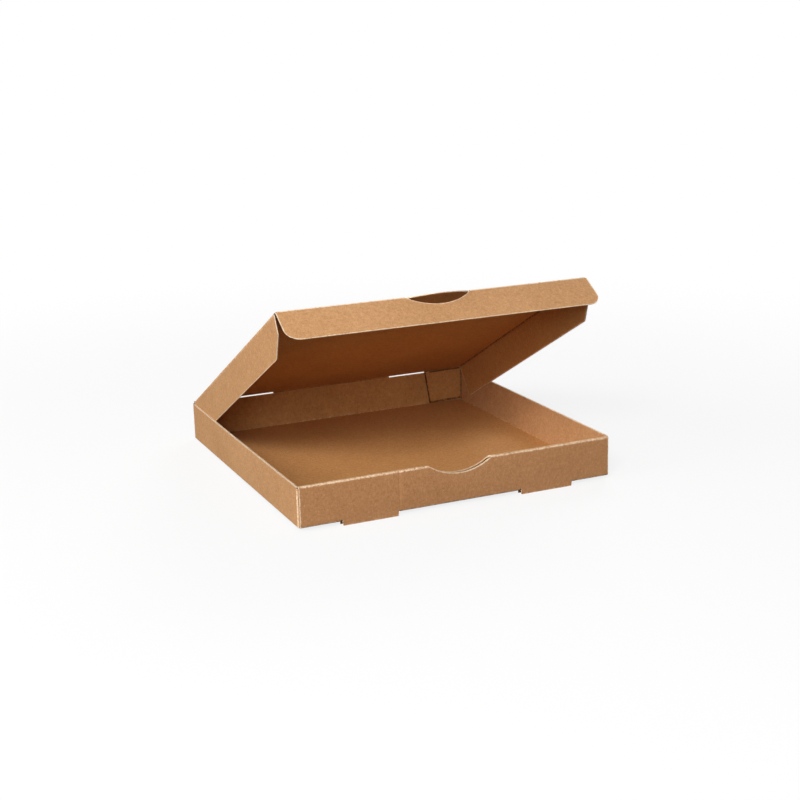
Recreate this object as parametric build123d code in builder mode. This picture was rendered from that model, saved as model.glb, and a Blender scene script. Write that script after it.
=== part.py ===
from build123d import *
import os
from math import cos, radians, sin

# Folding pizza box of kraft corrugated board: a tray with a rolled double front wall, and a lid
# that turns on the top of the back wall and carries three tuck flaps.
# Millimetres. X runs to the right, Y to the back, Z up. The origin is on the resting plane, under
# the middle of the tray.

# Board
board = 1.5  # thickness of the corrugated board
crease_radius = 0.5  # inside radius of a folded crease
layer_gap = 0.2  # air between two layers folded against each other
fold_play = 0.3  # air between two panels that turn on a fold
roll_share = 0.49  # largest bend of the rolled front wall, as a share of its thickness

# Tray
tray_width = 330.0
tray_depth = 330.0
tray_height = 40.0  # underside of the floor to the wall tops
foot_drop = 4.0  # how far the front feet hang below the floor
foot_width = 59.5
foot_inset = 63.5  # middle of the box to the near end of a foot
foot_taper = 0.5
slot_play = 0.5  # air around a lock tab in its floor slot
lock_reach = 1.5  # lock tab below the underside of the floor
notch_width = 67.0
notch_depth = 11.0
front_corner_flap = 100.0  # length from the side wall's outer face
back_corner_flap = 50.0  # the same at the rear, along its top edge
back_corner_slant = 6.0  # how much shorter its lower edge is
back_corner_drop = 1.0  # top of the rear corner flap below the wall top
corner_relief = 1.5  # gap that parts two folds where they meet
slit_start = 71.0  # middle of the box to the near end of a hinge slit
slit_length = 45.5
slit_depth = 0.9  # cut from each of the two edges along the slit

# Lid
lid_open = 28.0  # degrees between the lid and its shut position
side_play = 0.6  # tuck flap to tray wall
tuck_play = 1.2  # shut front flap to the inside of the front wall
moon_width = 68.0
moon_depth = 13.0
moon_play = 1.5  # pull tab to its cut-out

# Tuck flaps
front_flap_fold = 60.0  # degrees that the front flap is folded down from the lid's plane
front_flap_depth = 38.0
front_flap_inset = 1.5  # flap end to the outer face of the side flap
front_flap_corner = 14.0
side_flap_depth = 37.5
side_flap_knee = 19.0  # depth at which the front edge starts to slope back
side_flap_slope = 18.0  # how far it slopes back
side_flap_front_inset = 3.0  # front fold to the side flap's front edge
side_flap_rear_inset = 4.0  # hinge to the side flap's rear edge
side_flap_rear_slope = 8.0
side_flap_corner = 1.0

# Levels and faces that follow from the sizes above
outer_bend = crease_radius + board
side_face = tray_width / 2
back_face = tray_depth / 2
front_face = -back_face
panel_half = side_face - outer_bend
floor_low = foot_drop
floor_top = floor_low + board
wall_low = floor_low + outer_bend
rim = floor_low + tray_height

# The front wall is three layers deep: outer panel, corner flap, inner panel
corner_flap_front = front_face + board + layer_gap
inner_panel_front = corner_flap_front + board + layer_gap
front_inside = inner_panel_front + board
front_stack = front_inside - front_face
roll_bend = min(outer_bend, roll_share * front_stack)
corner_flap_back = back_face - board - layer_gap

# Fold lines of the lid, counted from the hinge along the lid
hinge_y = back_face - board / 2
hinge_z = rim + fold_play + board / 2
front_fold = hinge_y - (front_inside + tuck_play + board / 2)
lid_length = front_fold - board / 2 - fold_play
side_flap_outer = side_face - board - side_play
side_flap_inner = side_flap_outer - board
side_pivot = side_flap_inner - fold_play
lid_half = side_pivot - fold_play


def arc_radius(width, depth):
    """Radius of the arc that spans a width and is depth high."""
    return (width**2 / 4 + depth**2) / (2 * depth)


def folded_strip(corners, radii):
    """Outline of a strip of board, folded at right angles, that lies left of its outer face.

    The corners are those of the outer face, and the radii are its bends.
    """
    outer = [Vector(*corner) for corner in corners]
    across_strip = [
        (end - start).normalized().rotate(Axis.Z, 90) * board
        for start, end in zip(outer, outer[1:])
    ]
    at_corners = [before + after for before, after in zip(across_strip, across_strip[1:])]
    steps = [across_strip[0], *at_corners, across_strip[-1]]
    inner = [corner + step for corner, step in zip(outer, steps)]
    outer_line = FilletPolyline(*outer, radius=radii)
    inner_line = FilletPolyline(*inner, radius=[radius - board for radius in radii])
    Line(outer_line @ 0, inner_line @ 0)
    Line(outer_line @ 1, inner_line @ 1)


def fold_plane(origin, rise):
    """Plane of a panel that leaves its fold towards the front, rising by an angle in degrees.

    X runs along the fold, Y away from it, and Z to the inside of the box.
    """
    turn = radians(rise)
    return Plane(origin=origin, x_dir=(1, 0, 0), z_dir=(0, -sin(turn), -cos(turn)))


def across(origin):
    """Plane at right angles to X through a point, with its own x towards the back."""
    return Plane(origin=origin, x_dir=(0, 1, 0), z_dir=(1, 0, 0))


lid_plane = fold_plane((0, hinge_y, hinge_z), lid_open)
front_flap_plane = fold_plane(
    lid_plane.from_local_coords((0, front_fold, 0)), lid_open - front_flap_fold
)
moon_radius = arc_radius(moon_width, moon_depth)
notch_radius = arc_radius(notch_width, notch_depth)


# Right side wall with its two corner flaps and the fold to the floor
with BuildPart() as right_side:
    with BuildSketch(Plane.XY.offset(wall_low)):
        with BuildLine():
            side_corners = [
                (side_face - front_corner_flap, corner_flap_front),
                (side_face, corner_flap_front),
                (side_face, corner_flap_back),
                (side_face - back_corner_flap, corner_flap_back),
            ]
            folded_strip(side_corners, [outer_bend, outer_bend])
        make_face()
    extrude(amount=rim - wall_low)

    # The front corner flap ends below the rolled top, the rear one a little below the wall top
    corner_flap_top = rim - board - layer_gap
    with Locations((panel_half + layer_gap, corner_flap_front, corner_flap_top)):
        Box(
            front_corner_flap,
            outer_bend,
            tray_height,
            align=(Align.MAX, Align.MIN, Align.MIN),
            mode=Mode.SUBTRACT,
        )
    with Locations((panel_half + layer_gap, corner_flap_back, rim - back_corner_drop)):
        Box(
            back_corner_flap,
            outer_bend,
            tray_height,
            align=(Align.MAX, Align.MAX, Align.MIN),
            mode=Mode.SUBTRACT,
        )

    # Slanted free end of the rear corner flap
    with BuildSketch(Plane.XZ.offset(-corner_flap_back)):
        with BuildLine():
            Polyline(
                (side_face - back_corner_flap, wall_low),
                (side_face - back_corner_flap + back_corner_slant, wall_low),
                (side_face - back_corner_flap, rim),
                close=True,
            )
        make_face()
    extrude(amount=board, mode=Mode.SUBTRACT)

    # Fold from the floor up into the side wall
    with BuildSketch(Plane.XZ):
        with BuildLine():
            fold_corners = [
                (panel_half - board, floor_low),
                (side_face, floor_low),
                (side_face, wall_low + board),
            ]
            folded_strip(fold_corners, [outer_bend])
        make_face()
    extrude(amount=corner_flap_back - outer_bend - corner_relief, both=True)


# Tray
with BuildPart() as tray:
    # Back wall, floor, outer front panel, rolled top and inner front panel in one section
    with BuildSketch(Plane.YZ):
        with BuildLine():
            long_corners = [
                (front_inside, floor_top + layer_gap),
                (front_inside, rim),
                (front_face, rim),
                (front_face, floor_low),
                (back_face, floor_low),
                (back_face, rim),
            ]
            folded_strip(long_corners, [roll_bend, roll_bend, outer_bend, outer_bend])
        make_face()
    extrude(amount=panel_half, both=True)

    # Floor slots: the sheet is cut free here, so that the feet stay in the outer panel's plane
    foot_middle = foot_inset + foot_width / 2
    foot_places = [(-foot_middle, 0), (foot_middle, 0)]
    with BuildSketch(Plane.XY.offset(floor_low)):
        with Locations((0, front_face)):
            with Locations(*foot_places):
                Rectangle(
                    foot_width,
                    front_stack + slot_play,
                    align=(Align.CENTER, Align.MIN),
                )
    extrude(amount=outer_bend, mode=Mode.SUBTRACT)

    # Feet of the outer panel, tapered towards their lower edge
    with BuildSketch(Plane.XZ.offset(back_face)):
        with Locations(*foot_places):
            Polygon(
                (-foot_width / 2, wall_low),
                (-foot_width / 2, floor_low),
                (-foot_width / 2 + foot_taper, 0),
                (foot_width / 2 - foot_taper, 0),
                (foot_width / 2, floor_low),
                (foot_width / 2, wall_low),
                align=None,
            )
    extrude(amount=-board)

    # Lock tabs of the inner panel, down through the floor slots
    with BuildSketch(Plane.XZ.offset(-front_inside)):
        with Locations((0, floor_low - lock_reach)):
            with Locations(*foot_places):
                Rectangle(
                    foot_width - 2 * slot_play,
                    lock_reach + outer_bend + board,
                    align=(Align.CENTER, Align.MIN),
                )
    extrude(amount=board)

    # Thumb notch through the rolled front wall
    with BuildSketch(Plane.XZ.offset(back_face)):
        with Locations((0, rim - notch_depth + notch_radius)):
            Circle(notch_radius)
    extrude(amount=-front_stack, mode=Mode.SUBTRACT)

    # Hinge slits in the top edge of the back wall
    slit_middle = slit_start + slit_length / 2
    with BuildSketch(Plane.XZ.offset(-back_face)):
        with Locations((-slit_middle, rim), (slit_middle, rim)):
            Rectangle(slit_length, 2 * slit_depth)
    extrude(amount=board, mode=Mode.SUBTRACT)

    add(right_side.part)
    mirror(right_side.part, about=Plane.YZ)


# Lid panel with its half-moon pull tab
with BuildPart() as lid:
    with BuildSketch(lid_plane):
        Rectangle(2 * lid_half, lid_length, align=(Align.CENTER, Align.MIN))
        with Locations((0, front_fold + moon_depth - moon_radius)):
            Circle(moon_radius - moon_play)
    extrude(amount=board / 2, both=True)

    # Rounded rear edge on the hinge line, parted by the slits
    with BuildSketch(across(lid_plane.origin)):
        Circle(board / 2)
    extrude(amount=lid_half, both=True)
    with BuildSketch(lid_plane):
        with Locations((-slit_middle, 0), (slit_middle, 0)):
            Rectangle(slit_length, 2 * slit_depth)
    extrude(amount=board, both=True, mode=Mode.SUBTRACT)


# Front tuck flap with the half-moon cut-out
with BuildPart() as lid_front_flap:
    flap_width = 2 * (side_flap_outer - front_flap_inset)
    with BuildSketch(front_flap_plane) as outline:
        Rectangle(flap_width, front_flap_depth, align=(Align.CENTER, Align.MIN))
        fillet(outline.vertices().group_by(Axis.Y)[-1], radius=front_flap_corner)
    extrude(amount=board / 2, both=True)
    with BuildSketch(across(front_flap_plane.origin)):
        Circle(board / 2)
    extrude(amount=flap_width / 2, both=True)
    with BuildSketch(front_flap_plane):
        with Locations((0, moon_depth - moon_radius)):
            Circle(moon_radius)
    extrude(amount=board, both=True, mode=Mode.SUBTRACT)


# Right tuck flap: a flat flap below a bend that turns on the lid's side fold
with BuildPart() as lid_right_flap:
    pivot_level = board / 2 + fold_play
    flap_rear = side_flap_rear_inset
    flap_front = front_fold - side_flap_front_inset
    side_plane = Plane(
        origin=lid_plane.from_local_coords((side_flap_inner, 0, pivot_level)),
        x_dir=lid_plane.y_dir,
        z_dir=(1, 0, 0),
    )
    with BuildSketch(side_plane) as outline:
        with BuildLine():
            Polyline(
                (flap_rear, 0),
                (flap_front, 0),
                (flap_front, side_flap_knee),
                (flap_front - side_flap_slope, side_flap_depth),
                (flap_rear + side_flap_rear_slope, side_flap_depth),
                close=True,
            )
        make_face()
        fillet(outline.vertices().group_by(Axis.Y)[-1], radius=side_flap_corner)
    extrude(amount=board)
    bend_plane = Plane(
        origin=lid_plane.from_local_coords((side_pivot, flap_rear, pivot_level)),
        x_dir=(1, 0, 0),
        z_dir=lid_plane.y_dir,
    )
    with BuildSketch(bend_plane):
        with BuildLine():
            bend_outside = CenterArc((0, 0), fold_play + board, 0, 90)
            bend_inside = CenterArc((0, 0), fold_play, 0, 90)
            Line(bend_outside @ 0, bend_inside @ 0)
            Line(bend_outside @ 1, bend_inside @ 1)
        make_face()
    extrude(amount=flap_front - flap_rear)


# Left tuck flap
with BuildPart() as lid_left_flap:
    mirror(lid_right_flap.part, about=Plane.YZ)


os.makedirs("parts", exist_ok=True)
nodes = {
    "tray": tray,
    "lid": lid,
    "lid_front_flap": lid_front_flap,
    "lid_left_flap": lid_left_flap,
    "lid_right_flap": lid_right_flap,
}
for name, node in nodes.items():
    node.part.label = name
    export_step(node.part, f"parts/{name}.step")
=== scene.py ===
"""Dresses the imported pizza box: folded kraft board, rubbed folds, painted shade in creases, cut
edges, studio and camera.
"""

import logging
from collections.abc import Mapping, Sequence
from dataclasses import dataclass
from enum import Enum, IntEnum
from typing import Any

import bpy
import numpy as np
from mathutils import Matrix
from numpy.typing import NDArray

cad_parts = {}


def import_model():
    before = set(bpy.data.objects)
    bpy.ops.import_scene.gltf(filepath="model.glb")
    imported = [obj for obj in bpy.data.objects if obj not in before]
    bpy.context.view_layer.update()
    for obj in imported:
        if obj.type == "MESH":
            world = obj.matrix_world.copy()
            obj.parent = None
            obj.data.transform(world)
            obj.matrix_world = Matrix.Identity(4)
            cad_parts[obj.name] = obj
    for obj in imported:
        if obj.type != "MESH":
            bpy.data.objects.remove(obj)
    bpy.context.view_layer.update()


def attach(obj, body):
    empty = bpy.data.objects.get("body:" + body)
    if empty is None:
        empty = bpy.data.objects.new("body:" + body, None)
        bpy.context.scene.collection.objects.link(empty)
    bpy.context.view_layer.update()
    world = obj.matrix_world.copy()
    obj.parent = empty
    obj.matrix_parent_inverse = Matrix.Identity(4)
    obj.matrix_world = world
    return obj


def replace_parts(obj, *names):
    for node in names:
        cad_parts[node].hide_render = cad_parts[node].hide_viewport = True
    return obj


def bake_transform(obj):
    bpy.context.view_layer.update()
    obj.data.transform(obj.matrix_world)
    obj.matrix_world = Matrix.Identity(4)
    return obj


Array = NDArray[np.float64]
Mask = NDArray[np.bool_]
Colour = tuple[float, float, float, float]
Place = tuple[float, float, float]
Steps = tuple[float, ...]
log = logging.getLogger("pizza_box")

MM = 0.001
BOARD_UV = "board"
# Name of the signed marks per vertex: rubbing above 0, painted shade in creases, gaps and slots
# below 0
WEAR_AND_SHADE = "wear_and_shade"
FLUTE_PITCH = 0.0034
FLUTE_TURN = 2 * np.pi / FLUTE_PITCH
SHARP_ANGLE = 34.0
UPRIGHT = 90.0
DIGITS = 6
TINY = 1e-6
# Places of the colour sockets of a Mix node
MIX_FIRST, MIX_SECOND, MIX_RESULT = 6, 7, 2


class Side(Enum):
    """Which half of the box a piece belongs to."""

    LEFT = -1.0
    RIGHT = 1.0


class Surface(IntEnum):
    """Material slot of a face of board."""

    LINER = 0
    # Inner faces: a deeper, more saturated copy of the liner, painted shade
    CUT = 1
    INSIDE = 2
    # Outer face of the front wall and its feet: a darker copy of the liner, painted shade
    FRONT = 3


Finishes = Mapping[Surface, bpy.types.Material]


# Shader graphs


class Value:
    """A shader socket that takes part in arithmetic."""

    def __init__(self, graph: "Graph", socket: bpy.types.NodeSocket) -> None:
        """Keeps the socket and the graph it belongs to."""
        self.graph = graph
        self.socket = socket

    def math(self, operation: str, first: Any, second: Any = 0.0) -> "Value":
        """Adds one Math node on two numbers or values."""
        return self.graph.node("ShaderNodeMath", {"operation": operation}, {0: first, 1: second})

    def __add__(self, other: Any) -> "Value":
        """Sum."""
        return self.math("ADD", self, other)

    def __radd__(self, other: Any) -> "Value":
        """Sum, with the number first."""
        return self.math("ADD", other, self)

    def __sub__(self, other: Any) -> "Value":
        """Difference."""
        return self.math("SUBTRACT", self, other)

    def __rsub__(self, other: Any) -> "Value":
        """Difference, with the number first."""
        return self.math("SUBTRACT", other, self)

    def __mul__(self, other: Any) -> "Value":
        """Product."""
        return self.math("MULTIPLY", self, other)

    def __rmul__(self, other: Any) -> "Value":
        """Product, with the number first."""
        return self.math("MULTIPLY", other, self)

    def sine(self) -> "Value":
        """Sine of the value in radians."""
        return self.math("SINE", self)

    def absolute(self) -> "Value":
        """The value without its sign."""
        return self.math("ABSOLUTE", self)

    def rise(self, low: float, high: float, kind: str = "SMOOTHSTEP") -> "Value":
        """Rises from 0 at low to 1 at high along a curve of a kind, and is level outside them."""
        sockets = {"Value": self, "From Min": low, "From Max": high}
        return self.graph.node("ShaderNodeMapRange", {"interpolation_type": kind}, sockets)


@dataclass(frozen=True)
class Noise:
    """Cloudy noise: its cells per metre, octaves, share of each finer octave and stretch."""

    cells: float
    octaves: float
    rough: float
    stretch: Place | None = None


class Graph:
    """The node tree of one material or world."""

    def __init__(self, owner: bpy.types.Material | bpy.types.World) -> None:
        """Empties a node tree.

        Args:
            owner: Material or world that has the tree.
        """
        owner.use_nodes = True
        self.owner = owner
        self.tree = owner.node_tree
        self.tree.nodes.clear()

    def node(
        self,
        kind: str,
        settings: Mapping[str, Any] | None = None,
        sockets: Mapping[str | int, Any] | None = None,
        output: str | int = 0,
    ) -> Value:
        """Adds a node, sets it up and links it.

        Args:
            kind: Blender's name of the node type.
            settings: Properties of the node, set before its sockets.
            sockets: Values or links of its inputs, by name or place.
            output: Name or place of the output that is returned.

        Returns:
            That output.
        """
        made = self.tree.nodes.new(kind)
        for name, value in (settings or {}).items():
            setattr(made, name, value)
        for place, value in (sockets or {}).items():
            if isinstance(value, Value):
                self.tree.links.new(value.socket, made.inputs[place])
            else:
                made.inputs[place].default_value = value
        return Value(self, made.outputs[output] if made.outputs else None)

    def mix(self, share: Any, first: Any, second: Any) -> Value:
        """Mixes a share of the second colour into the first."""
        sockets = {0: share, MIX_FIRST: first, MIX_SECOND: second}
        return self.node("ShaderNodeMix", {"data_type": "RGBA"}, sockets, MIX_RESULT)

    def noise(self, vector: Value, noise: Noise) -> Value:
        """Cloudy noise from 0 to 1.

        Args:
            vector: Where the noise is read.
            noise: What it is like.

        Returns:
            The noise value.
        """
        if noise.stretch:
            scaling = {"Vector": vector, "Scale": noise.stretch}
            vector = self.node("ShaderNodeMapping", None, scaling)
        sockets = {"Scale": noise.cells, "Detail": noise.octaves, "Roughness": noise.rough}
        return self.node("ShaderNodeTexNoise", None, {"Vector": vector, **sockets})

    def uneven(self, vector: Value, noise: Noise) -> Value:
        """Cloudy noise about 0."""
        return self.noise(vector, noise) - 0.5

    def axis(self, vector: Value, place: int) -> Value:
        """One number of a vector, by its place."""
        return self.node("ShaderNodeSeparateXYZ", None, {0: vector}, place)

    def end(self, kind: str, shader: Value) -> None:
        """Ends the tree in an output node of that kind."""
        self.node(kind, None, {"Surface": shader})


class BoardGraph(Graph):
    """The node tree of a finish of board. It reads the board's own coordinates and its rubbing and
    painted shade.
    """

    bump_depth = 0.0003
    specular = 0.2

    def __init__(self, name: str) -> None:
        """Starts a material and the nodes that read the board.

        Args:
            name: Name of the material.
        """
        super().__init__(bpy.data.materials.new(name))
        self.place = self.node("ShaderNodeTexCoord", output="Object")
        self.board = self.node("ShaderNodeUVMap", {"uv_map": BOARD_UV})
        # Signed marks: rubbing above 0, painted shade in creases and gaps below 0
        self.wear_and_shade = self.node("ShaderNodeAttribute", {"attribute_name": WEAR_AND_SHADE}, output="Fac")

    def matte(self, shade: Value, rough: Value, relief: Value, bump: float) -> bpy.types.Material:
        """Ends the tree in a matte surface.

        Args:
            shade: Its colour.
            rough: Its roughness.
            relief: Height of its bumps.
            bump: Strength of the bumps.

        Returns:
            The material.
        """
        height = {"Strength": bump, "Distance": self.bump_depth, "Height": relief}
        sockets = {
            "Base Color": shade,
            "Roughness": rough,
            "Specular IOR Level": self.specular,
            "Normal": self.node("ShaderNodeBump", None, height),
        }
        self.end("ShaderNodeOutputMaterial", self.node("ShaderNodeBsdfPrincipled", None, sockets))
        return self.owner


def colour(red: int, green: int, blue: int) -> Colour:
    """Linear colour of an sRGB colour.

    Args:
        red: Red from 0 to 255.
        green: Green from 0 to 255.
        blue: Blue from 0 to 255.

    Returns:
        Red, green, blue and alpha as shaders take them.
    """
    srgb = np.array([red, green, blue]) / 255
    linear = np.where(srgb <= 0.04045, srgb / 12.92, ((srgb + 0.055) / 1.055) ** 2.4)
    return (*linear.tolist(), 1.0)


# Finishes


@dataclass(frozen=True)
class KraftLiner:
    """Uncoated brown paper: blotches, mottle, grain, flecks, pale rubbed folds and painted shade in
    creases and gaps.
    """

    name: str = "kraft_liner"
    dark: Colour = colour(181, 130, 83)
    pale: Colour = colour(220, 170, 122)
    rubbed: Colour = colour(246, 220, 186)
    # Painted shade: the dark colour that stands in for shade in creases, gaps and slots
    crease: Colour = colour(84, 48, 22)
    dark_fleck: Colour = colour(134, 90, 54)
    pale_fleck: Colour = colour(236, 203, 164)
    clouds: Noise = Noise(15.0, 2.0, 0.5)
    blots: Noise = Noise(125.0, 3.0, 0.6)
    mottling: Noise = Noise(340.0, 3.0, 0.65)
    grains: Noise = Noise(1150.0, 2.0, 0.6)
    fibres: Noise = Noise(1.0, 2.0, 0.6, (1000.0, 210.0, 1.0))
    flecks: Noise = Noise(1.0, 1.0, 0.4, (760.0, 420.0, 1.0))
    rough: float = 0.84
    bump: float = 0.25

    def build(self) -> bpy.types.Material:
        """Makes the material.

        The tone between dark and pale is a weighted sum of noise at five scales and of the flutes.
        Where the marks are above 0 the paper is rubbed pale, and where they are below 0 it takes
        painted shade for creases and gaps, both more so where mottle and grain are high.

        Returns:
            The material.
        """
        graph = BoardGraph(self.name)
        scales = self.clouds, self.blots, self.mottling, self.grains
        cloud, blot, mottle, grain = (graph.uneven(graph.place, scale) for scale in scales)
        fibre = graph.uneven(graph.board, self.fibres)
        flute = (graph.axis(graph.board, 1) * FLUTE_TURN + blot * 3.0).sine()

        tone = cloud * 0.35 + blot * 0.3 + mottle * 0.95 + grain * 1.1 + fibre * 0.6 + flute * 0.012
        shade = graph.mix(tone.rise(-0.42, 0.42, "LINEAR"), self.dark, self.pale)
        specks = graph.noise(graph.board, self.flecks)
        shade = graph.mix(specks.rise(0.66, 0.76) * 0.25, shade, self.dark_fleck)
        shade = graph.mix((1 - specks).rise(0.67, 0.77) * 0.3, shade, self.pale_fleck)
        worn = graph.wear_and_shade * (1 + mottle * 2.6 + grain * 3.0)
        shade = graph.mix(worn.rise(0.16, 1.0), shade, self.rubbed)
        # Painted shade in creases and gaps, where the marks are below 0
        folded = (0 - graph.wear_and_shade) * (0.8 + mottle * 3.0 + grain * 3.4)
        shade = graph.mix(folded.rise(0.2, 1.0) * 0.85, shade, self.crease)

        relief = grain * 0.6 + mottle * 0.45 + fibre * 0.4 + flute * 0.03
        return graph.matte(shade, self.rough + mottle * 0.2 + grain * 0.1, relief, self.bump)


@dataclass(frozen=True)
class FlutedEdge:
    """Cut edge of the board: two pale liners with the wave of the fluting between them, and painted
    shade in the hollows.
    """

    name: str = "fluted_edge"
    liner: Colour = colour(255, 240, 216)
    flute: Colour = colour(250, 227, 196)
    # Painted shade in the open hollows beside the flute
    painted_hollow_shade: Colour = colour(168, 124, 84)
    # Painted shade on cut edges next to shaded creases, gaps and slots
    crushed: Colour = colour(62, 36, 18)
    board: float = 1.5 * MM
    tears: Noise = Noise(700.0, 3.0, 0.6)
    rough: float = 0.84
    bump: float = 0.4

    def build(self) -> bpy.types.Material:
        """Makes the material.

        The board's coordinates run across the flutes and through the thickness. The fluting is a
        sine wave about the middle of the thickness with painted shade in the hollows beside it, and
        below 0 the marks give painted shade.

        Returns:
            The material.
        """
        graph = BoardGraph(self.name)
        along = graph.axis(graph.board, 0)
        depth = graph.axis(graph.board, 1) * (1 / self.board)
        ragged = graph.noise(graph.place, self.tears)
        wave = 0.5 + (along * FLUTE_TURN).sine() * 0.3
        on_wave = 1 - ((depth - wave).absolute() - ragged * 0.06).rise(0.06, 0.2)
        on_liner = ((depth - 0.5).absolute() + ragged * 0.08).rise(0.26, 0.38)
        # Flute paper on the wave, painted shade in the hollows beside it
        body = graph.mix(on_wave, self.painted_hollow_shade, self.flute)
        body = graph.mix(on_liner, body, self.liner)
        body = graph.mix(ragged.rise(0.38, 0.62) * 0.7, body, self.flute)
        # Painted shade where the marks are below 0
        body = graph.mix((0 - graph.wear_and_shade).rise(0.2, 1.0), body, self.crushed)
        relief = on_wave + on_liner + ragged * 0.5
        return graph.matte(body, self.rough + ragged * 0.12, relief, self.bump)


# Board geometry, in millimetres


@dataclass(frozen=True)
class Board:
    """Sizes that all panels share."""

    thick: float = 1.5
    bend: float = 2.0
    gap: float = 0.2
    spacing: float = 5.0
    bend_steps: int = 8
    hinge_top: float = 43.6
    slit_start: float = 71.0
    slit_end: float = 116.5
    slit_depth: float = 0.9


def even(low: float, high: float, spacing: float) -> Array:
    """Evenly spaced stations from low to high, no further apart than spacing."""
    return np.linspace(low, high, max(2, int(np.ceil(abs(high - low) / spacing)) + 1))


def merged(*groups: Array | Sequence[float]) -> Array:
    """Stations of several groups, sorted and without doubles."""
    return np.unique(np.round(np.concatenate(groups), DIGITS))


def stations(low: float, high: float, spacing: float, *marks: float, close: float = 0.3) -> Array:
    """Sorted stations from low to high that also pass through the marks.

    Args:
        low: First station.
        high: Last station.
        spacing: Largest step between the even stations.
        marks: Further stations that must be met.
        close: Share of the spacing within which a mark takes an even station's place.

    Returns:
        The stations.
    """
    kept = np.array([mark for mark in marks if low < mark < high])
    steady = even(low, high, spacing)
    if len(kept):
        near = np.abs(steady[:, None] - kept[None, :]).min(axis=1) < close * spacing
        near[[0, -1]] = False
        steady = steady[~near]
    return merged(steady, kept)


def joined(*parts: Any) -> NDArray[Any]:
    """Arrays, spread to one shape, side by side along one more axis."""
    return np.stack(np.broadcast_arrays(*parts), axis=-1)


def middles(values: Array) -> Array:
    """Middles between neighbours along the last axis."""
    return (values[..., 1:] + values[..., :-1]) / 2


def between(values: Array, low: Any, high: Any) -> Mask:
    """Which values lie between two bounds."""
    return (values > low) & (values < high)


def bell(values: Array, place: Array | float, width: float) -> Array:
    """A bell that is 1 at a place and fades over a width."""
    return np.exp(-(((values - place) / width) ** 2))


def hump(values: Array, low: float, high: float) -> Array:
    """Half a sine wave over a span, and 0 outside it."""
    return np.sin(np.pi * np.clip((values - low) / (high - low), 0, 1))


def cell_corners(index: NDArray[np.int64]) -> NDArray[np.int64]:
    """The four corners of each cell of a grid of indices, as one more axis."""
    return joined(index[:-1, :-1], index[1:, :-1], index[1:, 1:], index[:-1, 1:])


def arc_height(x: Array, width: float, depth: float, play: float = 0.0) -> Array:
    """Height of a circular arc that spans a width and is depth high, drawn in by a play.

    Args:
        x: Distances from the middle.
        width: Chord of the arc.
        depth: Height of the arc over its chord.
        play: How much smaller its radius is drawn.

    Returns:
        Height over the chord, negative beyond the arc's ends.
    """
    radius = (width**2 / 4 + depth**2) / (2 * depth)
    reach = np.sqrt(np.maximum((radius - play) ** 2 - x**2, 0))
    return depth - radius + reach


@dataclass(frozen=True)
class Mark:
    """A line of rubbing or painted shade: its strength, above 0 rubbed pale and below 0 painted
    shade, and its width.
    """

    strength: float
    width: float

    def at(self, values: Array, place: Array | float) -> Array:
        """Wear about a place: the strength times a bell."""
        return self.strength * bell(values, place, self.width)


class FoldedPath:
    """A flat path of straight runs and right-angled round bends, read by its length.

    Run k starts at start[2k] and the bend after it at start[2k + 1]. On a bend of curvature c the
    point moves by sin(ct)/c along the heading and (1 - cos(ct))/c to its left.
    """

    def __init__(self, board: Board, *corners: tuple[float, float]) -> None:
        """Works out the runs and bends.

        Args:
            board: Board that is folded.
            corners: Corners of the path before they are rounded.
        """
        self.board = board
        points = np.array(corners, float)
        steps = np.diff(points, axis=0)
        lengths = np.linalg.norm(steps, axis=1)
        ahead = steps / lengths[:, None]
        turn = ahead[:-1, 0] * ahead[1:, 1] - ahead[:-1, 1] * ahead[1:, 0]
        before = np.full(len(lengths), board.bend)
        before[0] = 0
        after = before[::-1]
        count = 2 * len(lengths) - 1
        length = np.full(count, board.bend * np.pi / 2)
        length[0::2] = lengths - before - after
        self.curve = np.zeros(count)
        self.curve[1::2] = turn / board.bend
        self.start = np.concatenate([[0.0], np.cumsum(length)])
        self.origin = np.empty((count, 2))
        self.origin[0::2] = points[:-1] + ahead * before[:, None]
        self.origin[1::2] = points[1:-1] - ahead[:-1] * board.bend
        self.heading = np.repeat(ahead, 2, axis=0)[:count]

    def at(self, s: Array) -> tuple[Array, Array]:
        """Point and left-hand direction at lengths along the path.

        Args:
            s: Lengths, in an array of any shape.

        Returns:
            Points and unit vectors to the left of the heading, with one more axis of two.
        """
        k = np.clip(np.searchsorted(self.start, s, side="right") - 1, 0, len(self.curve) - 1)
        t = s - self.start[k]
        c = self.curve[k]
        ahead = self.heading[k]
        left = joined(-ahead[..., 1], ahead[..., 0])
        bent = np.where(c == 0, 1.0, c)
        along = np.where(c == 0, t, np.sin(bent * t) / bent)
        aside = np.where(c == 0, 0.0, (1 - np.cos(bent * t)) / bent)
        point = self.origin[k] + ahead * along[..., None] + left * aside[..., None]
        angle = (c * t)[..., None]
        return point, left * np.cos(angle) - ahead * np.sin(angle)

    def rows(self, first: int, last: int, *marks: float) -> Array:
        """Stations over segments first to last, finer on the bends.

        Args:
            first: First segment.
            last: Segment after the last one.
            marks: Further stations on the runs.

        Returns:
            The sorted stations.
        """
        parts = [
            np.linspace(self.start[k], self.start[k + 1], self.board.bend_steps + 1)
            if self.curve[k]
            else stations(self.start[k], self.start[k + 1], self.board.spacing, *marks)
            for k in range(first, last)
        ]
        return merged(*parts)

    def wear_and_shade(self, s: Array, mark: Mark) -> Array:
        """Rubbing or painted shade of a mark along the middle of each bend."""
        bends = (self.start[1:-1:2] + self.start[2:-1:2]) / 2
        return mark.strength * bell(s[..., None], bends, mark.width).max(axis=-1)


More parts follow.
